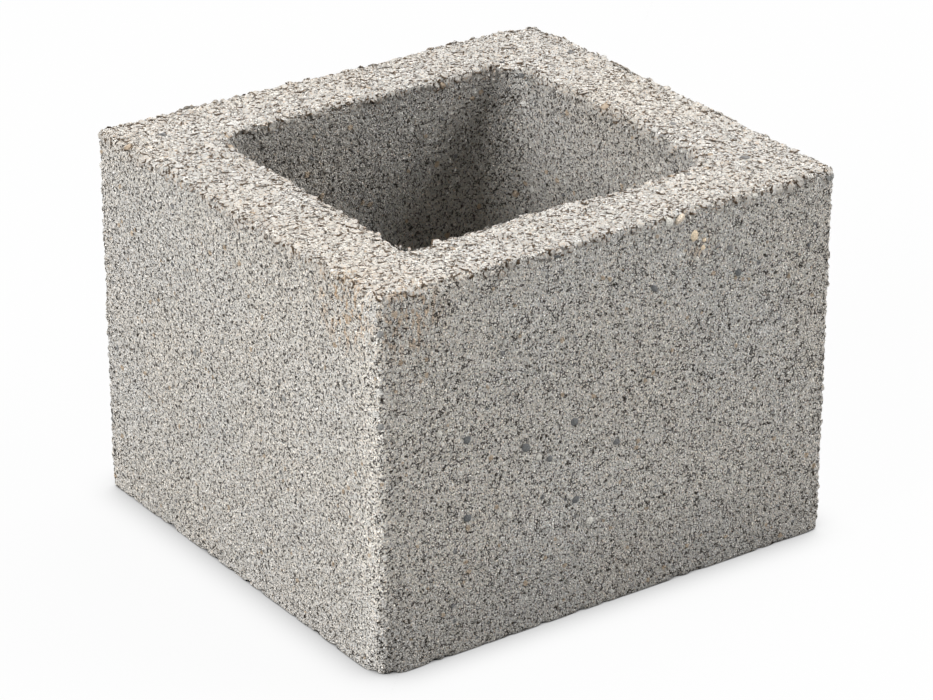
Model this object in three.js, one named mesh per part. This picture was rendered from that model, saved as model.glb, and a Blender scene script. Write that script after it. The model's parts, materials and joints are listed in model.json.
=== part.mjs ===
// Hollow concrete block: one dry-cast unit with a single tapered core, standing on its pallet face.
// Millimetres, +Z up, origin at the centre of the bottom bed face, +X along the longer side.

import * as THREE from 'three';

// Driving dimensions

const LENGTH = 194; // along X
const WIDTH = 180; // along Y
const HEIGHT = 143; // along Z, from the pallet face to the pressed face

const END_WALL = 30; // walls across X, at the mouth of the core
const SIDE_WALL = 28; // walls across Y, at the mouth of the core
const DRAFT = 3; // each wall thickens by this much towards the bottom, so that the core former pulls out
const CORE_CORNER_RADIUS = 14; // upright corners of the core, at its mouth

const CORNER_RADIUS = 2.5; // upright outer arrises
const TOP_ARRIS_RADIUS = 2.2; // outer arris of the pressed top face
const MOUTH_RADIUS = 2; // crumbled edge round the mouth of the core
const FOOT_CHAMFER = 0.8; // arrises against the pallet stay crisp

// Worn places of the top: middle in plan, half of the length worn, and the depth lost at the middle

const ARRIS_WEAR = [
	{ x: - 80, y: - 90, reach: 46, loss: 1.9 },
	{ x: 30, y: - 90, reach: 26, loss: 1 },
	{ x: 66, y: - 90, reach: 14, loss: 0.6 },
	{ x: - 97, y: 34, reach: 26, loss: 0.8 },
	{ x: 20, y: 90, reach: 30, loss: 0.8 },
	{ x: 97, y: 90, reach: 20, loss: 2.4 },
];

const MOUTH_WEAR = [
	{ x: 67, y: - 9, reach: 10, loss: 3 },
	{ x: 67, y: 21, reach: 10, loss: 2.4 },
	{ x: 60, y: 56, reach: 14, loss: 1.6 },
	{ x: 67, y: - 34, reach: 14, loss: 1 },
	{ x: - 20, y: 62, reach: 24, loss: 0.9 },
	{ x: - 67, y: - 14, reach: 20, loss: 0.9 },
	{ x: 26, y: - 62, reach: 22, loss: 1.1 },
];

// Facets

const STEPS_X = 22; // along a straight side parallel to X
const STEPS_Y = 20; // along a straight side parallel to Y
const CORNER_STEPS = 5; // round an upright corner
const ARRIS_STEPS = 4; // over a worn edge

// Points anticlockwise round a rounded rectangle, each with the direction that faces out of it.
function outline( lengthX, lengthY, radius ) {

	const points = [];
	const halfX = lengthX / 2 - radius;
	const halfY = lengthY / 2 - radius;

	const corners = [
		{ middle: new THREE.Vector2( halfX, - halfY ), straight: 2 * halfY, steps: STEPS_Y },
		{ middle: new THREE.Vector2( halfX, halfY ), straight: 2 * halfX, steps: STEPS_X },
		{ middle: new THREE.Vector2( - halfX, halfY ), straight: 2 * halfY, steps: STEPS_Y },
		{ middle: new THREE.Vector2( - halfX, - halfY ), straight: 2 * halfX, steps: STEPS_X },
	];

	corners.forEach( ( { middle, straight, steps }, quarter ) => {

		for ( let i = 0; i <= CORNER_STEPS; i ++ ) {

			const angle = ( quarter - 1 + i / CORNER_STEPS ) * Math.PI / 2;
			const out = new THREE.Vector2( Math.cos( angle ), Math.sin( angle ) );
			points.push( { at: middle.clone().addScaledVector( out, radius ), out } );

		}

		const { at, out } = points[ points.length - 1 ];
		const along = new THREE.Vector2( - out.y, out.x );

		for ( let i = 1; i < steps; i ++ ) {

			points.push( { at: at.clone().addScaledVector( along, straight * i / steps ), out } );

		}

	} );

	return points;

}

// One ring of the surface: shift moves a point out of its outline, and height gives its level.
function ring( plan, shift, height ) {

	return plan.map( ( point ) => {

		const { x, y } = point.at.clone().addScaledVector( point.out, shift( point ) );
		return new THREE.Vector3( x, y, height( point ) );

	} );

}

// The depth that wear has taken from an edge at a point of the plan.
function wornAt( at, places ) {

	return places.reduce( ( loss, place ) => {

		const distance = Math.hypot( at.x - place.x, at.y - place.y ) / place.reach;
		return distance < 1 ? loss + place.loss * ( 1 - distance ** 2 ) ** 2 : loss;

	}, 0 );

}

// The outside, from the foot to the top face: an upright wall under a worn arris.
function outsideRings() {

	const plan = outline( LENGTH, WIDTH, CORNER_RADIUS );
	const radius = ( { at } ) => TOP_ARRIS_RADIUS + wornAt( at, ARRIS_WEAR );
	const rings = [
		ring( plan, () => - FOOT_CHAMFER, () => 0 ),
		ring( plan, () => 0, () => FOOT_CHAMFER ),
	];

	for ( let i = 0; i <= ARRIS_STEPS; i ++ ) {

		const angle = ( i / ARRIS_STEPS ) * Math.PI / 2;
		rings.push( ring(
			plan,
			( point ) => - radius( point ) * ( 1 - Math.cos( angle ) ),
			( point ) => HEIGHT - radius( point ) * ( 1 - Math.sin( angle ) ),
		) );

	}

	return rings;

}

// The core, from the top face down to the foot: a crumbled mouth over a wall that draws inwards.
function coreRings() {

	const plan = outline( LENGTH - 2 * END_WALL, WIDTH - 2 * SIDE_WALL, CORE_CORNER_RADIUS );
	const radius = ( { at } ) => MOUTH_RADIUS + wornAt( at, MOUTH_WEAR );
	const throat = - MOUTH_RADIUS / 2;
	const rings = [];

	for ( let i = ARRIS_STEPS; i >= 0; i -- ) {

		const angle = ( i / ARRIS_STEPS ) * Math.PI / 2;
		rings.push( ring(
			plan,
			( point ) => throat + radius( point ) * ( 1 - Math.cos( angle ) ),
			( point ) => HEIGHT - radius( point ) * ( 1 - Math.sin( angle ) ),
		) );

	}

	rings.push( ring( plan, () => throat - DRAFT, () => FOOT_CHAMFER ) );
	rings.push( ring( plan, () => throat - DRAFT + FOOT_CHAMFER, () => 0 ) );
	return rings;

}

// One closed skin over a loop of rings, which all hold the same number of points.
function skin( rings ) {

	const count = rings[ 0 ].length;
	const index = ( level, i ) => ( level % rings.length ) * count + i % count;
	const triangles = [];

	for ( let level = 0; level < rings.length; level ++ ) {

		for ( let i = 0; i < count; i ++ ) {

			const [ a, b ] = [ index( level, i ), index( level, i + 1 ) ];
			const [ c, d ] = [ index( level + 1, i + 1 ), index( level + 1, i ) ];
			triangles.push( a, b, c, a, c, d );

		}

	}

	const geometry = new THREE.BufferGeometry();
	geometry.setFromPoints( rings.flat() );
	geometry.setIndex( triangles );
	geometry.computeVertexNormals();
	return geometry;

}

const concrete = new THREE.MeshStandardMaterial( {
	name: 'concrete',
	color: 0xb2afa8,
	roughness: 0.95,
	metalness: 0,
} );

const block = new THREE.Mesh( skin( [ ...outsideRings(), ...coreRings() ] ), concrete );
block.name = 'block';

const group = new THREE.Group();
group.name = 'hollow_block';
group.add( block );

export default group;
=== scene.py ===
# Looks of the hollow concrete block: a dry-cast skin, pebbly grain on it, its concrete and a plain studio.
# Metres, +Z up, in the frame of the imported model. Relief and grain sizes are real sizes.

import json
import math
import bpy
from mathutils import Matrix, Vector

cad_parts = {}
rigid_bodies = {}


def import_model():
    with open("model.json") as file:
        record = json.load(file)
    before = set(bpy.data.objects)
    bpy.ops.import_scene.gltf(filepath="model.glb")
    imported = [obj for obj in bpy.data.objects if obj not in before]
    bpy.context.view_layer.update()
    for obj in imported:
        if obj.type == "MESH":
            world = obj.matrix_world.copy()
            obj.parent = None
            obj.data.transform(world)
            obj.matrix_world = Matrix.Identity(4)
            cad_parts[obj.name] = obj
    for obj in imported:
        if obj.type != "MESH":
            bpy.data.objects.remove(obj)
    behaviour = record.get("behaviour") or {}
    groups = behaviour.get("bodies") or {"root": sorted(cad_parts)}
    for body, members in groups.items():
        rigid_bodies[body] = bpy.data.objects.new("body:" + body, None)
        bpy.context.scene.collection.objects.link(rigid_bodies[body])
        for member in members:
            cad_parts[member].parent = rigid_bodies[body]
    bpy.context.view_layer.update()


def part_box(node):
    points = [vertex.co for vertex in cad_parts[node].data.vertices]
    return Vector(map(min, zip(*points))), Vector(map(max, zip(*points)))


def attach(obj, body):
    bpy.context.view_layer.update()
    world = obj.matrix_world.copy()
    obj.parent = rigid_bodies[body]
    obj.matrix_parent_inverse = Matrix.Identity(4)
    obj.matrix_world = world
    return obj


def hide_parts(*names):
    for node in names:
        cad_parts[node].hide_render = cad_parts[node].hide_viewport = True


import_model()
mm = 0.001

lowCorner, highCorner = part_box("block")
blockLength = highCorner.x - lowCorner.x
blockWidth = highCorner.y - lowCorner.y
blockHeight = highCorner.z


# Small helpers

def deselectAll():
    if bpy.context.object and bpy.context.object.mode != "OBJECT":
        bpy.ops.object.mode_set(mode="OBJECT")
    bpy.ops.object.select_all(action="DESELECT")


def makeActive(piece):
    deselectAll()
    piece.select_set(True)
    bpy.context.view_layer.objects.active = piece


# Goes into edit mode with only the edges for which wanted(startPoint, endPoint) holds.
def editWithEdges(piece, wanted):
    makeActive(piece)
    bpy.ops.object.mode_set(mode="EDIT")
    bpy.ops.mesh.select_mode(type="EDGE")
    bpy.ops.mesh.select_all(action="DESELECT")
    bpy.ops.object.mode_set(mode="OBJECT")
    points = piece.data.vertices
    for edge in piece.data.edges:
        start, end = (points[i].co for i in edge.vertices)
        edge.select = wanted(start, end)
    bpy.ops.object.mode_set(mode="EDIT")


# Adds a node. A value that is a socket is linked to it, and any other is set on it.
def put(tree, kind, inputs=None, **settings):
    node = tree.nodes.new(kind)
    for key, value in settings.items():
        setattr(node, key, value)
    for key, value in (inputs or {}).items():
        if isinstance(value, bpy.types.NodeSocket):
            tree.links.new(value, node.inputs[key])
        else:
            node.inputs[key].default_value = value
    return node


def calc(tree, operation, *values):
    return put(tree, "ShaderNodeMath", dict(enumerate(values)), operation=operation).outputs[0]


def vectorCalc(tree, operation, a, b, out=0):
    return put(tree, "ShaderNodeVectorMath", {0: a, 1: b}, operation=operation).outputs[out]


def scaleVector(tree, vector, factor):
    inputs = {0: vector, "Scale": factor}
    return put(tree, "ShaderNodeVectorMath", inputs, operation="SCALE").outputs[0]


def remap(tree, value, fromMin, fromMax, toMin=0.0, toMax=1.0, shape="SMOOTHSTEP"):
    inputs = {"Value": value, "From Min": fromMin, "From Max": fromMax, "To Min": toMin, "To Max": toMax}
    return put(tree, "ShaderNodeMapRange", inputs, interpolation_type=shape).outputs["Result"]


def noise(tree, at, size, detail=2.0, out="Fac"):
    inputs = {"Vector": at, "Scale": 1 / size, "Detail": detail}
    return put(tree, "ShaderNodeTexNoise", inputs).outputs[out]


def cells(tree, at, size, feature="F1", out="Distance"):
    inputs = {"Vector": at, "Scale": 1 / size}
    return put(tree, "ShaderNodeTexVoronoi", inputs, feature=feature).outputs[out]


def mixColors(tree, factor, a, b, blend="MIX"):
    node = put(tree, "ShaderNodeMix", data_type="RGBA", blend_type=blend)
    for name, value in (("Factor_Float", factor), ("A_Color", a), ("B_Color", b)):
        socket = next(i for i in node.inputs if i.identifier == name)
        if isinstance(value, bpy.types.NodeSocket):
            tree.links.new(value, socket)
        else:
            socket.default_value = value
    return next(o for o in node.outputs if o.identifier == "Result_Color")


def newGeometryTree(name):
    tree = bpy.data.node_groups.new(name, "GeometryNodeTree")
    tree.interface.new_socket("Geometry", in_out="INPUT", socket_type="NodeSocketGeometry")
    tree.interface.new_socket("Geometry", in_out="OUTPUT", socket_type="NodeSocketGeometry")
    return tree, put(tree, "NodeGroupInput").outputs[0]


def applyTree(piece, tree, result):
    put(tree, "NodeGroupOutput", {0: result})
    makeActive(piece)
    modifier = piece.modifiers.new(tree.name, "NODES")
    modifier.node_group = tree
    bpy.ops.object.modifier_apply(modifier=modifier.name)


# Camera

camera = {
    "place": (-0.7226, -1.0262, 0.6512),
    "azimuth": 35.23,  # degrees, from +Y towards +X
    "elevation": 25.07,
    "roll": 0.10,
    "lens": 147.1,
    "sensor": 36.0,
}


def addCamera():
    data = bpy.data.cameras.new("viewCamera")
    data.lens = camera["lens"]
    data.sensor_width = camera["sensor"]
    data.clip_start = 0.05
    data.clip_end = 50
    viewer = bpy.data.objects.new("viewCamera", data)
    bpy.context.scene.collection.objects.link(viewer)
    aim = Matrix.Rotation(math.radians(-camera["azimuth"]), 4, "Z")
    tilt = Matrix.Rotation(math.radians(90 - camera["elevation"]), 4, "X")
    roll = Matrix.Rotation(math.radians(camera["roll"]), 4, "Z")
    viewer.matrix_world = Matrix.Translation(camera["place"]) @ aim @ tilt @ roll
    bpy.context.scene.camera = viewer


addCamera()
print("camera placed")


# Skin: a ring of four walls round one tapered core, swept from rounded rectangles

skin = {
    "grainDepth": 0.25 * mm,  # the skin lies this far under the tips of its grain
    "cornerRadius": 2.5 * mm,
    "coreCornerRadius": 14 * mm,
    "cornerSteps": 8,
    "mouth": (132 * mm, 122 * mm),  # the core under its crumbled rim
    "foot": (126 * mm, 116 * mm),
    "topArris": (1.3 * mm, 3),  # width and segments
    "mouthArris": (1.1 * mm, 4),
    "footChamfer": (0.8 * mm, 1),
    "funnel": 30 * mm,  # the bed faces are bridged as shallow funnels, then flattened
    "level": 0.001 * mm,  # two points that differ less than this in height are level
    "slack": 1.01,  # so that rounding leaves no point of a corner out
    "columns": 90,  # across each straight side
    "wallRows": 72,
    "topRows": 18,
    "coreRows": 40,
    "bedRows": 5,
}


# A closed loop of edges: a plane with rounded corners whose face is taken away.
def roundedLoop(name, size, height, radius):
    deselectAll()
    bpy.ops.mesh.primitive_plane_add(size=1, location=(0, 0, height))
    loop = bpy.context.object
    loop.name = name
    loop.scale = (size[0], size[1], 1)
    bpy.ops.object.transform_apply(location=True, rotation=False, scale=True)
    bpy.ops.object.mode_set(mode="EDIT")
    bpy.ops.mesh.select_all(action="SELECT")
    bpy.ops.mesh.bevel(offset=radius, segments=skin["cornerSteps"], affect="VERTICES")
    bpy.ops.mesh.select_all(action="SELECT")
    bpy.ops.mesh.delete(type="ONLY_FACE")
    bpy.ops.object.mode_set(mode="OBJECT")
    return loop


def makeSkin():
    inset = skin["grainDepth"]
    outside = (blockLength - 2 * inset, blockWidth - 2 * inset)
    top = blockHeight - inset
    loops = [
        roundedLoop("blockSkin", outside, 0, skin["cornerRadius"]),
        roundedLoop("outsideTop", outside, top, skin["cornerRadius"]),
        roundedLoop("mouth", skin["mouth"], top - skin["funnel"], skin["coreCornerRadius"]),
        roundedLoop("coreFoot", skin["foot"], skin["funnel"], skin["coreCornerRadius"]),
    ]
    deselectAll()
    for loop in loops:
        loop.select_set(True)
    body = loops[0]
    bpy.context.view_layer.objects.active = body
    bpy.ops.object.join()
    half = Vector((outside[0] / 2, outside[1] / 2))

    def onOutside(p):
        return max(abs(p.x) - half.x, abs(p.y) - half.y) > -skin["cornerRadius"] * skin["slack"]

    def atTop(p):
        return p.z > top / 2

    def onMouth(p, isTop):
        return not onOutside(p) and atTop(p) == isTop

    def bridge(wanted):
        editWithEdges(body, lambda a, b: wanted(a) and wanted(b))
        bpy.ops.mesh.bridge_edge_loops()

    def bevelLoop(wanted, offset, segments):
        editWithEdges(body, lambda a, b: wanted(a) and wanted(b) and abs(a.z - b.z) < skin["level"])
        bpy.ops.mesh.bevel(offset=offset, segments=segments, affect="EDGES")

    def split(wanted, cuts):
        editWithEdges(body, wanted)
        bpy.ops.mesh.subdivide(number_cuts=cuts)

    bridge(onOutside)
    bridge(lambda p: not onOutside(p))
    bridge(atTop)
    bridge(lambda p: not atTop(p))
    for isTop, lift in ((True, skin["funnel"]), (False, -skin["funnel"])):
        editWithEdges(body, lambda a, b: onMouth(a, isTop) and onMouth(b, isTop))
        bpy.ops.transform.translate(value=(0, 0, lift))
    bpy.ops.mesh.select_all(action="SELECT")
    bpy.ops.mesh.normals_make_consistent(inside=False)
    bevelLoop(lambda p: onOutside(p) and atTop(p), *skin["topArris"])
    bevelLoop(lambda p: not onOutside(p) and atTop(p), *skin["mouthArris"])
    bevelLoop(lambda p: onOutside(p) and not atTop(p), *skin["footChamfer"])

    def steep(a, b):
        return abs(a.z - b.z) > blockHeight / 2

    def across(a, b):  # from the outside edge to the core, on a bed face
        return abs(a.z - b.z) < skin["level"] and onOutside(a) != onOutside(b)

    split(lambda a, b: steep(a, b) and onOutside(a), skin["wallRows"])
    split(lambda a, b: steep(a, b) and not onOutside(a), skin["coreRows"])
    split(lambda a, b: across(a, b) and atTop(a), skin["topRows"])
    split(lambda a, b: across(a, b) and not atTop(a), skin["bedRows"])
    straight = min(skin["foot"]) / 2
    split(lambda a, b: (a - b).length > straight, skin["columns"])
    bpy.ops.mesh.select_all(action="SELECT")
    bpy.ops.mesh.normals_make_consistent(inside=False)
    bpy.ops.object.mode_set(mode="OBJECT")
    print("skin faces", len(body.data.polygons))
    return body


blockSkin = makeSkin()
print("skin modelled")


# Relief: where the edges of the top are worn, and how far the skin swells and sinks between its grains

relief = {
    "wave": (60 * mm, 0.5 * mm),  # size across, and full height
    "lump": (8 * mm, 0.55 * mm),
    "edgeLump": (6.5 * mm, 2.2 * mm),  # along the edges of the top
    "swell": (0.8 * mm, 0.6 * mm),  # how far the lumps stand out along the outer edges, and over the core
    "wearReach": 5 * mm,  # how far wear spreads from an edge, over the top and down the wall
    "arrisWear": [  # middle in plan, half of the length worn, and the depth lost
        (-80, -90, 46, 1.8),
        (30, -90, 26, 0.9),
        (66, -90, 14, 0.5),
        (-97, 34, 26, 0.7),
        (20, 90, 30, 0.8),
        (97, 90, 20, 2.2),
    ],
    "mouthWear": [
        (-63, -58, 13, 3.2),
        (-40, -62, 26, 1.4),
        (-67, -40, 18, 1.0),
        (67, -9, 9, 2.6),
        (67, 21, 9, 2.0),
        (60, 56, 12, 1.4),
        (67, -34, 12, 1.0),
        (-20, 62, 24, 0.9),
        (-67, -14, 20, 0.9),
        (26, -62, 22, 1.1),
    ],
    "calmFoot": (0.2 * mm, 2.5 * mm),  # no swelling under the first height, and all of it over the second
    "footChips": (3.5 * mm, 0.52, 0.66, 1.3 * mm),  # size, noise where they start and are full, and the loss
    "footReach": 3.5 * mm,  # how high the chips go
    "footWear": ((-97, -90, 0), 12, (2.6, 2.6, 0)),  # mm: the front foot corner, its reach, and the loss
}


# How far a point is from the faces of the block, as sockets by name.
def measures(tree, at):
    x, y, z = put(tree, "ShaderNodeSeparateXYZ", {0: at}).outputs
    absX = calc(tree, "ABSOLUTE", x)
    absY = calc(tree, "ABSOLUTE", y)
    return {
        "x": x,
        "y": y,
        "z": z,
        "depth": calc(tree, "SUBTRACT", blockHeight, z),
        "insideX": calc(tree, "SUBTRACT", blockLength / 2, absX),
        "insideY": calc(tree, "SUBTRACT", blockWidth / 2, absY),
        "beyondX": calc(tree, "SUBTRACT", absX, skin["mouth"][0] / 2),
        "beyondY": calc(tree, "SUBTRACT", absY, skin["mouth"][1] / 2),
    }


# The depth that wear takes at a point, from places round an edge.
def wornDepth(tree, x, y, closeness, places):
    total = None
    for middleX, middleY, reach, depth in places:
        dx = calc(tree, "SUBTRACT", x, middleX * mm)
        dy = calc(tree, "SUBTRACT", y, middleY * mm)
        away = calc(tree, "SQRT", calc(tree, "MULTIPLY_ADD", dx, dx, calc(tree, "MULTIPLY", dy, dy)))
        here = remap(tree, away, 0.0, reach * mm, depth * mm, 0.0)
        total = here if total is None else calc(tree, "ADD", total, here)
    return calc(tree, "MULTIPLY", total, closeness)


# How far the skin swells along its normal, or sinks where that is negative.
def swellOf(tree, at, place):
    inside = calc(tree, "MINIMUM", place["insideX"], place["insideY"])
    beyond = calc(tree, "MAXIMUM", place["beyondX"], place["beyondY"])
    reach = relief["wearReach"]
    nearArris = remap(tree, calc(tree, "ADD", inside, place["depth"]), 0.0, reach, 1.0, 0.0)
    nearMouth = remap(tree, calc(tree, "ADD", beyond, place["depth"]), 0.0, reach, 1.0, 0.0)
    worn = wornDepth(tree, place["x"], place["y"], nearArris, relief["arrisWear"])
    worn = calc(tree, "ADD", worn, wornDepth(tree, place["x"], place["y"], nearMouth, relief["mouthWear"]))
    height = calc(tree, "MULTIPLY", worn, -1.0)
    nearEdge = calc(tree, "MAXIMUM", nearArris, nearMouth)
    for kind, share in (("wave", 1.0), ("lump", 1.0), ("edgeLump", nearEdge)):
        size, swell = relief[kind]
        swing = calc(tree, "MULTIPLY", calc(tree, "SUBTRACT", noise(tree, at, size), 0.5), share)
        height = calc(tree, "MULTIPLY_ADD", swing, swell, height)
    outer, inner = relief["swell"]
    limit = calc(tree, "MULTIPLY_ADD", nearMouth, inner, skin["grainDepth"])
    limit = calc(tree, "MULTIPLY_ADD", nearArris, outer, limit)
    height = calc(tree, "MINIMUM", height, limit)
    return calc(tree, "MULTIPLY", height, remap(tree, place["z"], *relief["calmFoot"]))


# How far the foot is moved in plan, by chips all round and by wear at one corner.
def footLoss(tree, at, facing, place):
    size, start, full, loss = relief["footChips"]
    chips = remap(tree, noise(tree, at, size), start, full, 0.0, -loss)
    chips = calc(tree, "MULTIPLY", chips, remap(tree, place["z"], 0.0, relief["footReach"], 1.0, 0.0))
    sideways = vectorCalc(tree, "MULTIPLY", facing, (1, 1, 0))
    sideways = put(tree, "ShaderNodeVectorMath", {0: sideways}, operation="NORMALIZE").outputs[0]
    corner, reach, loss = relief["footWear"]
    away = vectorCalc(tree, "DISTANCE", at, Vector(corner) * mm, "Value")
    worn = scaleVector(tree, Vector(loss) * mm, remap(tree, away, 0.0, reach * mm, 1.0, 0.0))
    return vectorCalc(tree, "ADD", scaleVector(tree, sideways, chips), worn)


def roughenSkin(body):
    tree, geometry = newGeometryTree("skinRelief")
    at = put(tree, "GeometryNodeInputPosition").outputs[0]
    facing = put(tree, "GeometryNodeInputNormal").outputs[0]
    place = measures(tree, at)
    push = scaleVector(tree, facing, swellOf(tree, at, place))
    push = vectorCalc(tree, "ADD", push, footLoss(tree, at, facing, place))
    moved = put(tree, "GeometryNodeSetPosition", {"Geometry": geometry, "Offset": push}).outputs[0]
    applyTree(body, tree, moved)


roughenSkin(blockSkin)
makeActive(blockSkin)
bpy.ops.object.shade_smooth()
print("skin roughened")


# Pebbles: a few uneven domes, each modelled once and copied all over by the grain pieces

pebble = {
    "shapes": 8,
    "unevenness": 0.24,  # of its radius
    "plateau": 0.86,  # how far up the flat top of a crushed one lies
    "sharpOver": 32,  # degrees between faces that keep a crisp edge
    "mapDome": (0.5, 0.36),  # its middle and radius on its own square of the bake map
    "mapBase": (0.05, 0.03),  # and those of its flat base
    "baseCrest": 0.6,  # the height that its base counts as, which shows only over an edge
}


# Stores how high each corner is, for the shade painted in the crevices between pebbles, and its place on the
# bake map.
def markPebble(stone):
    mesh = stone.data
    mesh.attributes.new("crest", "FLOAT", "CORNER")
    mesh.attributes.new("spot", "FLOAT_VECTOR", "CORNER")
    crest = mesh.attributes["crest"].data
    spot = mesh.attributes["spot"].data
    for face in mesh.polygons:
        isBase = face.normal.z < -0.5
        middle, scale = pebble["mapBase"] if isBase else pebble["mapDome"]
        for corner in face.loop_indices:
            at = mesh.vertices[mesh.loops[corner].vertex_index].co
            crest[corner].value = pebble["baseCrest"] if isBase else min(max(at.z, 0.0), 1.0)
            spot[corner].vector = (middle + scale * at.x, middle + scale * at.y, 0)


# Lowers the pole of a dome to the plateau, from edit mode.
def flattenTip(stone):
    bpy.ops.mesh.select_mode(type="VERT")
    bpy.ops.mesh.select_all(action="DESELECT")
    bpy.ops.object.mode_set(mode="OBJECT")
    for point in stone.data.vertices:
        point.select = point.co.z > 0.99
    bpy.ops.object.mode_set(mode="EDIT")
    bpy.ops.transform.translate(value=(0, 0, pebble["plateau"] - 1))


def makePebbles(name, sides, rings, crushed):
    shelf = bpy.data.collections.new(name)
    bpy.context.scene.collection.children.link(shelf)
    for i in range(pebble["shapes"]):
        deselectAll()
        bpy.ops.mesh.primitive_uv_sphere_add(segments=sides, ring_count=rings, radius=1)
        stone = bpy.context.object
        stone.name = f"{name}{i}"
        editWithEdges(stone, lambda a, b: max(a.z, b.z) < 0.1 and min(a.z, b.z) < -0.1)
        bpy.ops.mesh.delete(type="EDGE")
        bpy.ops.mesh.select_all(action="SELECT")
        bpy.ops.mesh.edge_face_add()
        if crushed:
            flattenTip(stone)
        bpy.ops.mesh.select_all(action="SELECT")
        bpy.ops.transform.vertex_random(offset=pebble["unevenness"], uniform=1.0, normal=0.0, seed=i)
        bpy.ops.mesh.normals_make_consistent(inside=False)
        bpy.ops.object.mode_set(mode="OBJECT")
        markPebble(stone)
        for owner in list(stone.users_collection):
            owner.objects.unlink(stone)
        shelf.objects.link(stone)
    return shelf


edgeShelf = makePebbles("edgePebbles", 8, 6, False)
roundShelf = makePebbles("roundPebbles", 6, 4, False)
crushedShelf = makePebbles("crushedPebbles", 5, 4, True)
print("pebbles modelled")


# Grain: the pebbles seated on the skin, in joined pieces

grain = {
    "bedTo": (1.5 * mm, 4 * mm),  # the bed's grain thins out between these depths under the top
    "footFrom": (2.6 * mm, 3.8 * mm),  # and the walls' grain starts between these heights
    "lowest": 2.3 * mm,
    "edgeTo": (2.4 * mm, 4.4 * mm),  # how far from an edge its stones go
    "skinReach": 4 * mm,  # a point this near a nominal wall belongs to it
    "tilt": 14,  # degrees
    "crowd": 2,  # places tried for each square of the spacing
    "oval": (0.72, 1.2),  # a stone's other width, in its first one
    "smallness": 1.6,  # the higher this power, the more of the stones are small
}

edgeStones = {
    "spacing": 2.6 * mm,
    "radius": (1.05 * mm, 1.85 * mm),
    "rise": (0.48, 0.7),
    "sunk": 0.15 * mm,
    "seed": 11,
}

cornerStones = {
    "spacing": 2.5 * mm,
    "radius": (1.0 * mm, 1.7 * mm),
    "rise": (0.4, 0.58),
    "sunk": 0.15 * mm,
    "seed": 14,
}

bedStones = {
    "spacing": 3.0 * mm,
    "radius": (1.4 * mm, 2.5 * mm),
    "rise": (0.32, 0.45),
    "sunk": 0.25 * mm,
    "seed": 13,
}

bedGrit = {
    "spacing": 1.65 * mm,
    "radius": (0.75 * mm, 1.3 * mm),
    "rise": (0.27, 0.42),
    "sunk": 0.15 * mm,
    "seed": 12,
}

wallGrit = {
    "spacing": 1.75 * mm,
    "radius": (0.75 * mm, 1.3 * mm),
    "rise": (0.3, 0.5),
    "sunk": 0.12 * mm,
    "seed": 21,
}

coreGrit = {
    "spacing": 2.2 * mm,
    "radius": (0.9 * mm, 1.6 * mm),
    "rise": (0.35, 0.55),
    "sunk": 0.15 * mm,
    "seed": 31,
}


def randomNumber(tree, low, high, seed):
    inputs = {2: low, 3: high, "Seed": seed}
    return put(tree, "FunctionNodeRandomValue", inputs, data_type="FLOAT").outputs[1]


# The points where stones sit: no two nearer than the spacing, and fewer where the share is under 1.
def seats(tree, geometry, share, size):
    spread = put(
        tree,
        "GeometryNodeDistributePointsOnFaces",
        {
            "Mesh": geometry,
            "Distance Min": size["spacing"],
            "Density Max": grain["crowd"] / size["spacing"] ** 2,
            "Density Factor": share,
            "Seed": size["seed"],
        },
        distribute_method="POISSON",
    )
    sink = scaleVector(tree, spread.outputs["Normal"], -size["sunk"])
    points = put(tree, "GeometryNodeSetPosition", {"Geometry": spread.outputs["Points"], "Offset": sink})
    lean = math.radians(grain["tilt"])
    turn = {0: (-lean, -lean, 0), 1: (lean, lean, math.tau), "Seed": size["seed"]}
    turn = put(tree, "FunctionNodeRandomValue", turn, data_type="FLOAT_VECTOR").outputs[0]
    turned = {"Rotation": spread.outputs["Rotation"], "Rotate By": turn}
    turned = put(tree, "FunctionNodeRotateEuler", turned, rotation_type="EULER", space="LOCAL")
    return points.outputs[0], turned.outputs[0]


# Each stone's square on the bake map, counted from the stones themselves.
def mapSquare(tree, points):
    count = put(tree, "GeometryNodeAttributeDomainSize", {0: points}, component="POINTCLOUD")
    side = calc(tree, "CEIL", calc(tree, "SQRT", count.outputs["Point Count"]))
    index = put(tree, "GeometryNodeInputIndex").outputs[0]
    column = calc(tree, "MODULO", index, side)
    row = calc(tree, "FLOOR", calc(tree, "DIVIDE", index, side))
    return put(tree, "ShaderNodeCombineXYZ", {0: column, 1: row}).outputs[0], side


def store(tree, geometry, name, value, kind="FLOAT", domain="INSTANCE"):
    inputs = {"Geometry": geometry, "Name": name, "Value": value}
    return put(tree, "GeometryNodeStoreNamedAttribute", inputs, data_type=kind, domain=domain).outputs[0]


def recall(tree, name, kind="FLOAT_VECTOR"):
    return put(tree, "GeometryNodeInputNamedAttribute", {"Name": name}, data_type=kind).outputs[0]


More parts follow.
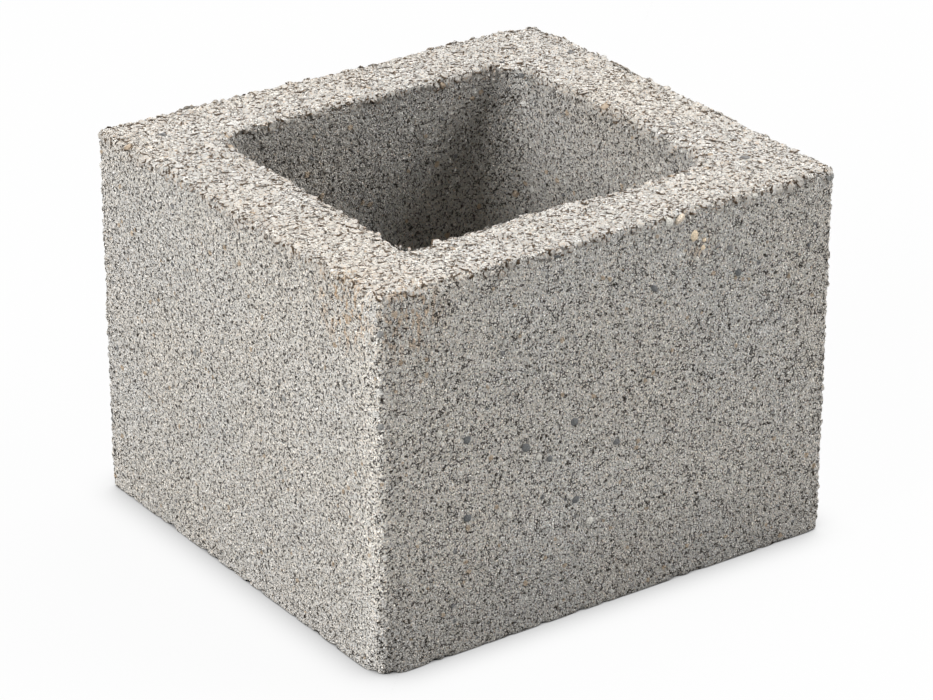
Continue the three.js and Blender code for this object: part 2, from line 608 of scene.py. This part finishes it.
# One piece of joined stones on the skin, with each stone's draws kept for its colour.
def scatter(name, shareOf, size, shelf):
    piece = bpy.data.objects.new(name, blockSkin.data.copy())
    bpy.context.scene.collection.objects.link(piece)
    tree, geometry = newGeometryTree(name)
    place = measures(tree, put(tree, "GeometryNodeInputPosition").outputs[0])
    points, turned = seats(tree, geometry, shareOf(tree, place), size)
    square, side = mapSquare(tree, points)
    seed = size["seed"] * 100
    low, high = size["radius"]
    girth = calc(tree, "POWER", randomNumber(tree, 0.0, 1.0, seed + 1), grain["smallness"])
    girth = remap(tree, girth, 0.0, 1.0, low, high, "LINEAR")
    oval = calc(tree, "MULTIPLY", girth, randomNumber(tree, *grain["oval"], seed + 2))
    rise = calc(tree, "MULTIPLY", girth, randomNumber(tree, *size["rise"], seed + 3))
    shapes = put(tree, "GeometryNodeCollectionInfo", {"Separate Children": True, "Reset Children": True})
    shapes.inputs["Collection"].default_value = shelf
    stones = put(
        tree,
        "GeometryNodeInstanceOnPoints",
        {
            "Points": points,
            "Selection": calc(tree, "GREATER_THAN", place["z"], grain["lowest"]),
            "Instance": shapes.outputs[0],
            "Pick Instance": True,
            "Rotation": turned,
            "Scale": put(tree, "ShaderNodeCombineXYZ", {0: girth, 1: oval, 2: rise}).outputs[0],
        },
    ).outputs[0]
    stones = store(tree, stones, "tone", randomNumber(tree, 0.0, 1.0, seed + 4))
    stones = store(tree, stones, "shade", randomNumber(tree, 0.0, 1.0, seed + 5))
    stones = store(tree, stones, "square", square, "FLOAT_VECTOR")
    stones = store(tree, stones, "tall", rise)
    stones = put(tree, "GeometryNodeRealizeInstances", {"Geometry": stones}).outputs[0]
    spot = vectorCalc(tree, "ADD", recall(tree, "spot"), recall(tree, "square"))
    sides = put(tree, "ShaderNodeCombineXYZ", {0: side, 1: side, 2: 1.0}).outputs[0]
    spot = vectorCalc(tree, "DIVIDE", spot, sides)
    stones = store(tree, stones, "OFBake", spot, "FLOAT2", "CORNER")
    tall = recall(tree, "tall", "FLOAT")
    lift = calc(tree, "MULTIPLY_ADD", recall(tree, "crest", "FLOAT"), tall, -size["sunk"])
    stones = store(tree, stones, "lift", calc(tree, "DIVIDE", lift, mm), domain="CORNER")
    applyTree(piece, tree, stones)
    for spare in ("spot", "square", "crest", "tall"):
        piece.data.attributes.remove(piece.data.attributes[spare])
    makeActive(piece)
    bpy.ops.object.shade_smooth_by_angle(angle=math.radians(pebble["sharpOver"]))
    print(name, "triangles", sum(len(face.vertices) - 2 for face in piece.data.polygons))
    return piece


def shareOfBed(tree, place):
    return remap(tree, place["depth"], *grain["bedTo"], 1.0, 0.0)


def shareOfHeight(tree, place):
    offFoot = remap(tree, place["z"], *grain["footFrom"], shape="LINEAR")
    return calc(tree, "MULTIPLY", offFoot, remap(tree, place["depth"], *grain["bedTo"]))


# The edges of the top, outside and round the mouth.
def shareOfEdges(tree, place):
    inside = calc(tree, "MINIMUM", place["insideX"], place["insideY"])
    beyond = calc(tree, "MAXIMUM", place["beyondX"], place["beyondY"])
    offArris = calc(tree, "ADD", inside, place["depth"])
    offMouth = calc(tree, "ADD", calc(tree, "ABSOLUTE", beyond), place["depth"])
    return remap(tree, calc(tree, "MINIMUM", offArris, offMouth), *grain["edgeTo"], 1.0, 0.0)


def shareOfCorners(tree, place):
    off = calc(tree, "ADD", place["insideX"], place["insideY"])
    near = remap(tree, off, *grain["edgeTo"], 1.0, 0.0)
    return calc(tree, "MULTIPLY", near, shareOfHeight(tree, place))


# One outside wall: along is the axis that it faces, and side is +1 or -1.
def shareOfWall(along, side):
    def share(tree, place):
        near, far = ("insideX", "insideY") if along == "x" else ("insideY", "insideX")
        own = calc(tree, "LESS_THAN", place[near], calc(tree, "MINIMUM", place[far], grain["skinReach"]))
        facing = calc(tree, "GREATER_THAN", calc(tree, "MULTIPLY", place[along], side), 0.0)
        return calc(tree, "MULTIPLY", calc(tree, "MULTIPLY", own, facing), shareOfHeight(tree, place))

    return share


def shareOfCore(tree, place):
    beyond = calc(tree, "MAXIMUM", place["beyondX"], place["beyondY"])
    own = calc(tree, "LESS_THAN", beyond, grain["skinReach"])
    return calc(tree, "MULTIPLY", own, shareOfHeight(tree, place))


grainPieces = [
    scatter("edgeStones", shareOfEdges, edgeStones, edgeShelf),
    scatter("cornerStones", shareOfCorners, cornerStones, edgeShelf),
    scatter("bedStones", shareOfBed, bedStones, roundShelf),
    scatter("bedGrit", shareOfBed, bedGrit, roundShelf),
    scatter("frontGrit", shareOfWall("y", -1), wallGrit, crushedShelf),
    scatter("backGrit", shareOfWall("y", 1), wallGrit, crushedShelf),
    scatter("leftGrit", shareOfWall("x", -1), wallGrit, crushedShelf),
    scatter("rightGrit", shareOfWall("x", 1), wallGrit, crushedShelf),
    scatter("coreGrit", shareOfCore, coreGrit, crushedShelf),
]
for shelf in (edgeShelf, roundShelf, crushedShelf):
    for stone in list(shelf.objects):
        bpy.data.objects.remove(stone)
    bpy.data.collections.remove(shelf)
print("grain seated")


# Single pebbles that stand out by their size or colour, laid into the walls one by one

singles = {
    "segments": 12,
    "rings": 8,
    "unevenness": 0.12,  # of a radius
    "slate": (0.16, 0.165, 0.165, 1),
    "grey": (0.27, 0.27, 0.26, 1),
    "tan": (0.82, 0.68, 0.50, 1),
    "chalk": (0.62, 0.60, 0.55, 1),
    "cream": (0.66, 0.57, 0.46, 1),
    "seed": 1000,
    "flatness": 0.8,  # its thickness, in the lesser of its width and height
    "speck": (0.45 * mm, 0.3, 0.7, 0.65, 1.3),  # size, noise, and how dark and bright it is there
    "bump": 0.3 * mm,
    # mm along the wall and up; half its width and height; how far it stands out; degrees turned; colour
    "frontStones": [
        (34.5, 132.4, 1.9, 2.5, 0.5, 12, "tan"),
        (38.6, 130.0, 0.8, 0.9, 0.52, 0, "tan"),
        (38.2, 127.2, 0.9, 0.9, 0.57, 0, "tan"),
        (42.6, 129.6, 0.6, 1.0, 0.52, 30, "chalk"),
        (35.6, 123.6, 1.0, 0.9, 0.52, 0, "chalk"),
        (23.4, 140.0, 1.5, 1.9, 0.6, 0, "chalk"),
        (27.9, 140.3, 2.4, 1.2, 0.6, -35, "cream"),
        (60.6, 141.0, 1.5, 1.1, 0.5, 15, "chalk"),
        (-15.9, 75.6, 1.9, 1.6, 0.52, 20, "slate"),
        (-61.0, 81.4, 1.5, 1.7, 0.52, 70, "slate"),
        (-36.4, 71.5, 2.2, 1.7, 0.6, 35, "slate"),
        (-26.4, 64.5, 1.2, 1.3, 0.52, 0, "slate"),
        (2.4, 62.7, 1.6, 1.2, 0.52, 10, "slate"),
        (-14.9, 45.4, 1.7, 1.4, 0.52, -20, "slate"),
        (-60.7, 51.9, 1.9, 1.6, 0.6, 20, "slate"),
        (17.3, 117.2, 1.8, 1.1, 0.52, 40, "slate"),
        (54.4, 113.7, 1.5, 1.2, 0.52, 60, "slate"),
        (50.2, 124.0, 1.2, 1.0, 0.52, 0, "grey"),
        (-24.1, 140.2, 1.8, 1.4, 0.5, 0, "slate"),
        (94.6, 140.2, 2.0, 1.7, 0.7, 0, "grey"),
        (-95.8, 129.8, 1.1, 1.3, 0.62, 0, "grey"),
        (-95.8, 96.2, 1.1, 1.2, 0.62, 0, "grey"),
        (-8.7, 35.1, 1.7, 1.8, 0.57, 0, "chalk"),
        (-72.4, 86.9, 1.4, 1.4, 0.52, 0, "chalk"),
        (-31.1, 66.3, 1.5, 1.3, 0.52, 20, "chalk"),
        (-43.2, 47.9, 1.2, 1.3, 0.52, 0, "chalk"),
    ],
    "leftStones": [
        (-32.3, 84.1, 0.9, 1.7, 0.52, -25, "grey"),
        (7.6, 90.3, 1.1, 1.1, 0.52, 0, "grey"),
        (26.0, 79.1, 0.9, 1.5, 0.52, 0, "grey"),
        (-67.9, 79.4, 1.2, 1.2, 0.52, 0, "chalk"),
    ],
}


def addPebble(along, up, halfWide, halfTall, out, turn, coat, onFront):
    deselectAll()
    bpy.ops.mesh.primitive_uv_sphere_add(segments=singles["segments"], ring_count=singles["rings"], radius=1)
    stone = bpy.context.object
    half = Vector((halfWide, halfTall, min(halfWide, halfTall) * singles["flatness"]))
    bpy.ops.object.mode_set(mode="EDIT")
    bpy.ops.mesh.select_all(action="SELECT")
    seed = int(singles["seed"] + along * 10 + up)
    bpy.ops.transform.vertex_random(offset=singles["unevenness"], seed=seed)
    bpy.ops.transform.resize(value=half * mm, center_override=(0, 0, 0))
    bpy.ops.transform.rotate(value=math.radians(turn), orient_axis="Z", center_override=(0, 0, 0))
    bpy.ops.object.mode_set(mode="OBJECT")
    behind = (half.z - out) * mm
    if onFront:
        stone.rotation_euler = (math.pi / 2, 0, 0)
        stone.location = (along * mm, -blockWidth / 2 + behind, up * mm)
    else:
        stone.rotation_euler = (math.pi / 2, 0, -math.pi / 2)
        stone.location = (-blockLength / 2 + behind, along * mm, up * mm)
    bpy.ops.object.transform_apply(location=True, rotation=True, scale=True)
    colors = stone.data.attributes.new("coat", "FLOAT_COLOR", "POINT")
    colors.data.foreach_set("color", singles[coat] * len(stone.data.vertices))
    return stone


def addPebbles():
    stones = [addPebble(*stone, True) for stone in singles["frontStones"]]
    stones += [addPebble(*stone, False) for stone in singles["leftStones"]]
    deselectAll()
    for stone in stones:
        stone.select_set(True)
    piece = stones[0]
    piece.name = "singlePebbles"
    piece.data.name = "singlePebbles"
    bpy.context.view_layer.objects.active = piece
    bpy.ops.object.join()
    bpy.ops.object.shade_smooth()
    return piece


singlePebbles = addPebbles()
print("single pebbles laid")


# Concrete: grains coated in cement paste, painted shade in the crevices between them, and sand and pits in
# the paste, the pits painted dark as shade

concrete = {
    "paste": (0.66, 0.63, 0.585, 1),
    "warm": (0.67, 0.63, 0.57, 1),
    "cool": (0.62, 0.605, 0.575, 1),
    "slate": (0.17, 0.175, 0.18, 1),
    "tan": (0.52, 0.40, 0.28, 1),
    "chalk": (0.80, 0.78, 0.74, 1),
    "stain": (0.52, 0.34, 0.18, 1),
    "fleck": (0.62, 0.42, 0.25, 1),
    "stains": [  # mm: where each is, and how far it spreads; how strong it is
        (-97, -69, 132, 20, 0.75),
        (-84, -90, 133, 20, 0.55),
        (38, -90, 128, 9, 0.4),
    ],
    "stainRuns": (1.6 * mm, 0.48, 0.6),  # width of the streaks, and the noise where they start and are full
    "stainStretch": (1, 1, 0.4),  # makes the streaks longer than wide
    "stainCore": 0.3,  # the share of its reach where a stain is full
    "wallReach": 3 * mm,  # a point this near a nominal wall belongs to it
    "paintedArrisLight": (20 * mm, 1.2),  # reach of the painted light, a pale band beside the upright front arris, and its gain
    "paintedCoreShade": (110 * mm, 0.76, 0.9),  # painted shade in the core: down to this depth, its gain goes from the first to the last
    "underMouth": (1.5 * mm, 4 * mm),  # and it comes in between these depths
    "darkFoot": (50 * mm, 0.78),  # reach of the dark foot of the front wall, and its gain
    "drift": (55 * mm, 0.35, 0.65),  # size of the cool and warm stretches, and their noise
    "pasteShare": 0.5,  # of its own colour, over theirs
    "mottle": (4 * mm, 0.35, 0.65, 0.97, 1.03),  # size of the patches, their noise, and the gain there
    "wormSize": 0.8 * mm,  # size of the small unevenness of the paste
    "foldRuns": 1.1,  # size of the stretches where crevices show, in that of the folds
    "foldCore": 0.6,  # the share of a fold line's half width that is painted dark to the full
    "foldRidge": 2,  # how far from its middle its pale ridge, a painted highlight, lies, in half widths
    "chinkBend": (1.5, 0.6),  # size and strength of the noise that bends the chinks, in the size of a grain
    "chinkRuns": 1.3,  # size of the stretches where they are open, in the same
    "chinkCore": 0.5,  # the share of a chink's half width that is painted dark to the full
    "chinkRim": 2.5,  # where the grains beside it stand up to the full, in half widths
    "rimRise": 0.8,  # how far they stand up, in the bump
    "chipShare": 0.04,  # of the sand
    "hueSwing": (0.08, -0.12),  # in red and in blue, from the coolest grain of sand to the warmest
    "fleckStrength": 0.6,
    "coatStrength": 0.8,
    "paintedHollowShade": (1.6 * mm, 0.34, 0.46, 1, 1.16),  # painted shade in the skin between the grains: size, noise, and the gain in and off the shaded patches
    "crumble": (0.7 * mm, 0.15),  # size and mm of height of the crumbs along the shade painted at a stone's foot
    "roughness": 0.93,
    "specular": 0.25,
}

# How its grain looks on the walls, on the top and along the edges.
# sand: size of its grains, how dark and bright they are, and the share that is pits, painted dark as shade.
# chips: how much brighter a few grains of sand are, partly pale sand and partly painted glints. rust: the
# share of them that is rusty.
# coats: shares of stones of each colour. worm: how uneven the paste is, in the bump.
# folds: size of the shapes that the crevices, painted dark as shade, run round, half their width in noise,
# the noise where they start and are full, and the gain of the pale ridge beside them, a painted highlight.
# chinks, painted dark as shade: size of the grains that they part, half their width, and the noise where
# they start and are full.
# lift: mm over the skin where the shade painted at a stone's foot ends and is full.
# runs: length of the stretches where that painted shade shows, and the noise where they start and are full.
# shade: how dark and bright the stones are.

wallLook = {
    "paintedCreviceShade": (0.04, 0.032, 0.024, 1),
    "sand": [(0.38 * mm, 0.76, 1.3, 0.02)],
    "chips": 0.6,
    "rust": 0.025,
    "coats": [("chalk", 0.02), ("tan", 0.02), ("slate", 0.01)],
    "worm": 0.7,
    "folds": [],
    "chinks": [(1.2 * mm, 0.14 * mm, 0.6, 0.62), (0.6 * mm, 0.14 * mm, 0.64, 0.66)],
    "lift": (0.12, 0.08),
    "runs": (1.2 * mm, 0.57, 0.62),
    "shade": (1.13, 1.23),
    "bump": 0.7 * mm,
}

bedLook = {
    "paintedCreviceShade": (0.085, 0.058, 0.036, 1),
    "sand": [(0.7 * mm, 0.96, 1.04, 0.01), (0.42 * mm, 0.9, 1.08, 0.02)],
    "chips": 0.1,
    "rust": 0.13,
    "coats": [("chalk", 0.01), ("tan", 0.012), ("slate", 0.005)],
    "worm": 0.9,
    "folds": [(1.9 * mm, 0.03, 0.5, 0.54, 0.08)],
    "chinks": [],
    "lift": (0.15, 0.06),
    "runs": (2.4 * mm, 0.42, 0.5),
    # painted shade: the top's stones, and those along the edges, darker than the walls' to offset the light
    # on the top
    "shade": (0.68, 0.8),
    "bump": 0.55 * mm,
}

edgeLook = {**bedLook, "lift": (0.42, 0.16), "runs": (3 * mm, 0.43, 0.53)}


def startMaterial(name):
    material = bpy.data.materials.new(name)
    material.use_nodes = True
    tree = material.node_tree
    tree.nodes.clear()
    at = put(tree, "ShaderNodeTexCoord").outputs["Object"]
    return material, tree, at


def endMaterial(tree, color, height, reliefDepth):
    inputs = {"Height": height, "Strength": 1.0, "Distance": reliefDepth}
    bump = put(tree, "ShaderNodeBump", inputs).outputs[0]
    inputs = {
        "Base Color": color,
        "Roughness": concrete["roughness"],
        "Specular IOR Level": concrete["specular"],
        "Normal": bump,
    }
    shader = put(tree, "ShaderNodeBsdfPrincipled", inputs).outputs[0]
    put(tree, "ShaderNodeOutputMaterial", {"Surface": shader})


def attribute(tree, name, out="Fac"):
    return put(tree, "ShaderNodeAttribute", attribute_name=name).outputs[out]


def shadeBy(tree, color, brightness):
    grey = put(tree, "ShaderNodeCombineColor", {0: brightness, 1: brightness, 2: brightness}).outputs[0]
    return mixColors(tree, 1.0, color, grey, "MULTIPLY")


# Brightness by place: painted light beside the upright front arris, painted shade in the core,
# and a front wall darker towards its foot.
def shadeByPlace(tree, at):
    place = measures(tree, at)
    wallReach = concrete["wallReach"]
    reach, gain = concrete["paintedArrisLight"]
    fromArris = calc(tree, "ADD", place["y"], blockWidth / 2)
    onLeft = calc(tree, "LESS_THAN", place["x"], -blockLength / 2 + wallReach)
    # Painted light: a pale band beside the upright front arris.
    pale = calc(tree, "MULTIPLY", remap(tree, fromArris, 0.0, reach, gain - 1, 0.0), onLeft)
    # Painted shade: the core darker under its mouth and further down.
    end, mouth, last = concrete["paintedCoreShade"]
    beyond = calc(tree, "MAXIMUM", place["beyondX"], place["beyondY"])
    inCore = calc(tree, "LESS_THAN", beyond, wallReach)
    under = remap(tree, place["depth"], *concrete["underMouth"], 1.0, mouth)
    deep = calc(tree, "MULTIPLY", under, remap(tree, place["depth"], 0.0, end, 1.0, last / mouth))
    deep = calc(tree, "MULTIPLY", calc(tree, "SUBTRACT", deep, 1.0), inCore)
    reach, gain = concrete["darkFoot"]
    onFront = calc(tree, "LESS_THAN", place["y"], -blockWidth / 2 + wallReach)
    foot = calc(tree, "MULTIPLY", remap(tree, place["z"], 0.0, reach, gain - 1, 0.0), onFront)
    return calc(tree, "ADD", calc(tree, "ADD", calc(tree, "ADD", pale, deep), foot), 1.0)


# How stained a point is: streaks that run down the wall round a few places.
def stainShare(tree, at):
    size, start, full = concrete["stainRuns"]
    streaked = vectorCalc(tree, "MULTIPLY", at, concrete["stainStretch"])
    runs = remap(tree, noise(tree, streaked, size), start, full)
    total = 0.0
    for x, y, z, reach, strength in concrete["stains"]:
        away = vectorCalc(tree, "DISTANCE", at, Vector((x, y, z)) * mm, "Value")
        here = remap(tree, away, concrete["stainCore"] * reach * mm, reach * mm, strength, 0.0)
        total = calc(tree, "ADD", total, here)
    return calc(tree, "MULTIPLY", total, runs)


# Thin curved crevices along the folds of a noise, painted dark as shade, and the pale ridges beside them,
# painted highlights that also rise in the bump.
def makeFolds(tree, at, size, half, start, full, ridge):
    folds = calc(tree, "ABSOLUTE", calc(tree, "SUBTRACT", noise(tree, at, size, 1.0), 0.5))
    runs = remap(tree, noise(tree, at, concrete["foldRuns"] * size, 0.0), start, full)
    line = calc(tree, "MULTIPLY", remap(tree, folds, half, concrete["foldCore"] * half), runs)
    off = calc(tree, "ABSOLUTE", calc(tree, "SUBTRACT", folds, concrete["foldRidge"] * half))
    paintedRidgeLight = calc(tree, "MULTIPLY", remap(tree, off, half, 0.0, 0.0, ridge), runs)
    return line, paintedRidgeLight


# Grains set edge to edge: the chinks that are open here and there between them, painted dark as shade, and
# their rims, which rise in the bump.
def makeChinks(tree, at, size, half, start, full):
    across, strength = concrete["chinkBend"]
    bend = scaleVector(tree, noise(tree, at, across * size, 0.0, "Color"), strength * size)
    edge = cells(tree, vectorCalc(tree, "ADD", at, bend), size, "DISTANCE_TO_EDGE")
    runs = remap(tree, noise(tree, at, concrete["chinkRuns"] * size, 0.0), start, full)
    half /= size
    line = calc(tree, "MULTIPLY", remap(tree, edge, half, concrete["chinkCore"] * half), runs)
    rim = remap(tree, edge, 0.0, concrete["chinkRim"] * half)
    return line, rim


# Cement paste: slow drifts of tone, specks of sand with their own tones, and small pits and crevices painted
# dark as shade.
def makePaste(tree, at, look):
    size, *steps = concrete["drift"]
    broad = remap(tree, noise(tree, at, size, 3.0), *steps)
    color = mixColors(tree, broad, concrete["cool"], concrete["warm"])
    color = mixColors(tree, concrete["pasteShare"], color, concrete["paste"])
    color = mixColors(tree, stainShare(tree, at), color, concrete["stain"])
    size, *steps = concrete["mottle"]
    brightness = remap(tree, noise(tree, at, size, 3.0), *steps, "LINEAR")
    # Painted light by the front arris and painted shade in the core, by place.
    brightness = calc(tree, "MULTIPLY", brightness, shadeByPlace(tree, at))
    height = calc(tree, "MULTIPLY", noise(tree, at, concrete["wormSize"], 1.0), look["worm"])
    paintedOpeningShade = 0.0
    for size, dark, bright, pits in look["sand"]:
        draws = cells(tree, at, size, out="Color")
        draw, chance, hue = put(tree, "ShaderNodeSeparateColor", {0: draws}).outputs
        tone = remap(tree, draw, 0.0, 1.0, dark, bright, "LINEAR")
        brightness = calc(tree, "MULTIPLY", brightness, tone)
        # A few grains of sand brighter: partly pale sand, partly painted glints.
        chip = calc(tree, "GREATER_THAN", chance, 1 - concrete["chipShare"])
        chip = calc(tree, "MULTIPLY_ADD", chip, look["chips"], 1.0)
        brightness = calc(tree, "MULTIPLY", brightness, chip)
        paintedOpeningShade = calc(tree, "MAXIMUM", paintedOpeningShade, calc(tree, "LESS_THAN", chance, pits))
        height = calc(tree, "MULTIPLY_ADD", draw, bright - dark, height)
    # Fold lines are painted shade; their pale ridges are painted highlights that also rise in the bump.
    for fold in look["folds"]:
        line, paintedRidgeLight = makeFolds(tree, at, *fold)
        paintedOpeningShade = calc(tree, "MAXIMUM", paintedOpeningShade, line)
        brightness = calc(tree, "MULTIPLY", brightness, calc(tree, "ADD", paintedRidgeLight, 1.0))
        height = calc(tree, "ADD", height, paintedRidgeLight)
    for chink in look["chinks"]:
        line, rim = makeChinks(tree, at, *chink)
        paintedOpeningShade = calc(tree, "MAXIMUM", paintedOpeningShade, line)
        height = calc(tree, "MULTIPLY_ADD", rim, concrete["rimRise"], height)
    color = shadeBy(tree, color, brightness)
    warmth = calc(tree, "SUBTRACT", hue, 0.5)
    redder, bluer = concrete["hueSwing"]
    red = calc(tree, "MULTIPLY_ADD", warmth, redder, 1.0)
    blue = calc(tree, "MULTIPLY_ADD", warmth, bluer, 1.0)
    tint = put(tree, "ShaderNodeCombineColor", {0: red, 1: 1.0, 2: blue}).outputs[0]
    color = mixColors(tree, 1.0, color, tint, "MULTIPLY")
    fleck = calc(tree, "LESS_THAN", hue, look["rust"])
    fleck = calc(tree, "MULTIPLY", fleck, concrete["fleckStrength"])
    color = mixColors(tree, fleck, color, concrete["fleck"])
    # Painted shade: pits, chinks and crevice lines take the dark crevice colour.
    color = mixColors(tree, paintedOpeningShade, color, look["paintedCreviceShade"])
    height = calc(tree, "MULTIPLY_ADD", paintedOpeningShade, -1.0, height)
    return color, height


def makeSkinConcrete():
    material, tree, at = startMaterial("castConcrete")
    color, height = makePaste(tree, at, wallLook)
    # Painted shade: the skin between the grains darker in noisy patches.
    size, *steps = concrete["paintedHollowShade"]
    color = shadeBy(tree, color, remap(tree, noise(tree, at, size), *steps))
    endMaterial(tree, color, height, wallLook["bump"])
    return material


def makeGrainConcrete(name, look):
    material, tree, at = startMaterial(name)
    color, height = makePaste(tree, at, look)
    tone = attribute(tree, "tone")
    below = 0.0
    for coat, share in look["coats"]:
        drawn = calc(tree, "GREATER_THAN", tone, below)
        drawn = calc(tree, "MULTIPLY", drawn, concrete["coatStrength"])
        below += share
        drawn = calc(tree, "MULTIPLY", calc(tree, "LESS_THAN", tone, below), drawn)
        color = mixColors(tree, drawn, color, concrete[coat])
    shade = remap(tree, attribute(tree, "shade"), 0.0, 1.0, *look["shade"], "LINEAR")
    color = shadeBy(tree, color, shade)
    # Painted shade: each stone darker at its foot, near the skin, in stretches.
    size, start, full = look["runs"]
    runs = remap(tree, noise(tree, at, size, 1.0), start, full)
    size, swing = concrete["crumble"]
    crumbs = calc(tree, "SUBTRACT", noise(tree, at, size), 0.5)
    lift = calc(tree, "MULTIPLY_ADD", crumbs, swing, attribute(tree, "lift"))
    foot = calc(tree, "MULTIPLY", remap(tree, lift, *look["lift"]), runs)
    color = mixColors(tree, foot, color, look["paintedCreviceShade"])
    endMaterial(tree, color, height, look["bump"])
    return material


def makePebbleStone():
    material, tree, at = startMaterial("pebbleStone")
    coat = attribute(tree, "coat", "Color")
    size, *steps = singles["speck"]
    speck = remap(tree, noise(tree, at, size), *steps, "LINEAR")
    endMaterial(tree, shadeBy(tree, coat, speck), speck, singles["bump"])
    return material


castConcrete = makeSkinConcrete()
wallConcrete = makeGrainConcrete("wallConcrete", wallLook)
bedConcrete = makeGrainConcrete("bedConcrete", bedLook)
edgeConcrete = makeGrainConcrete("edgeConcrete", edgeLook)
blockSkin.data.materials.append(castConcrete)
coats = {"edgeStones": edgeConcrete, "bedStones": bedConcrete, "bedGrit": bedConcrete}
for piece in grainPieces:
    piece.data.materials.clear()
    piece.data.materials.append(coats.get(piece.name, wallConcrete))
singlePebbles.data.materials.append(makePebbleStone())
print("concrete mixed")


# Studio: a pale floor, and three large softboxes: on the left, on the right and overhead

studio = {
    "softboxes": [  # name, where it shines from, strength, and degrees across
        ("leftBox", (-0.927, 0.000, 0.375), 4.0, 30),
        ("rightBox", (0.750, -0.433, 0.500), 2.8, 35),
        ("topBox", (0.407, 0.235, 0.883), 3.3, 35),
    ],
    "sky": 0.03,
    "floorSide": 12,
    "floorShown": 0.955,  # how white the floor is of itself, seen from the camera
    "floorDiffuse": 0.02,
    "floorBounce": 0.4,  # how much light it throws up at the block
    "contact": (18 * mm, 0.34),  # how far its painted contact shadow goes, and how dark it is at the foot
}


# 1 for the rays that show a background: the camera's, and those in gloss and glass.
def seenDirectly(tree):
    rays = put(tree, "ShaderNodeLightPath").outputs
    mirrored = calc(tree, "MAXIMUM", rays["Is Glossy Ray"], rays["Is Transmission Ray"])
    return calc(tree, "MAXIMUM", rays["Is Camera Ray"], mirrored)


def buildStudio():
    for name, shinesFrom, strength, across in studio["softboxes"]:
        light = bpy.data.lights.new(name, "SUN")
        light.energy = strength
        light.angle = math.radians(across)
        softbox = bpy.data.objects.new(name, light)
        softbox.rotation_mode = "QUATERNION"
        softbox.rotation_quaternion = Vector(shinesFrom).to_track_quat("Z", "Y")
        bpy.context.scene.collection.objects.link(softbox)

    world = bpy.data.worlds.new("studioSky")
    bpy.context.scene.world = world
    world.use_nodes = True
    tree = world.node_tree
    tree.nodes.clear()
    strength = remap(tree, seenDirectly(tree), 0.0, 1.0, studio["sky"], 1.0, "LINEAR")
    sky = put(tree, "ShaderNodeBackground", {"Color": (1, 1, 1, 1), "Strength": strength}).outputs[0]
    put(tree, "ShaderNodeOutputWorld", {"Surface": sky})

    deselectAll()
    bpy.ops.mesh.primitive_plane_add(size=studio["floorSide"], location=(0, 0, 0))
    floor = bpy.context.object
    floor.name = "floor"
    material = bpy.data.materials.new("paleFloor")
    material.use_nodes = True
    tree = material.node_tree
    tree.nodes.clear()
    reach, dark = studio["contact"]
    # The contact shadow is painted: the floor's white glow dims with ambient occlusion near the block.
    openness = put(tree, "ShaderNodeAmbientOcclusion", {"Distance": reach}, samples=16).outputs["AO"]
    closed = calc(tree, "MULTIPLY_ADD", openness, -2.0, 2.0)  # 1 at a wall's foot, where half is open
    lit = calc(tree, "MULTIPLY_ADD", calc(tree, "MULTIPLY", closed, closed), -dark, 1.0)
    seen = seenDirectly(tree)
    glow = calc(tree, "MULTIPLY", calc(tree, "MULTIPLY", lit, studio["floorShown"]), seen)
    grey = remap(tree, seen, 0.0, 1.0, studio["floorBounce"], studio["floorDiffuse"], "LINEAR")
    grey = put(tree, "ShaderNodeCombineColor", {0: grey, 1: grey, 2: grey}).outputs[0]
    matte = put(tree, "ShaderNodeBsdfDiffuse", {"Color": grey}).outputs[0]
    white = put(tree, "ShaderNodeEmission", {"Color": (1, 1, 1, 1), "Strength": glow}).outputs[0]
    both = put(tree, "ShaderNodeAddShader", {0: matte, 1: white}).outputs[0]
    put(tree, "ShaderNodeOutputMaterial", {"Surface": both})
    floor.data.materials.append(material)
    bpy.context.scene.view_settings.view_transform = "Standard"


buildStudio()
print("studio lit")

for piece in [blockSkin, singlePebbles] + grainPieces:
    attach(piece, "root")
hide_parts("block")
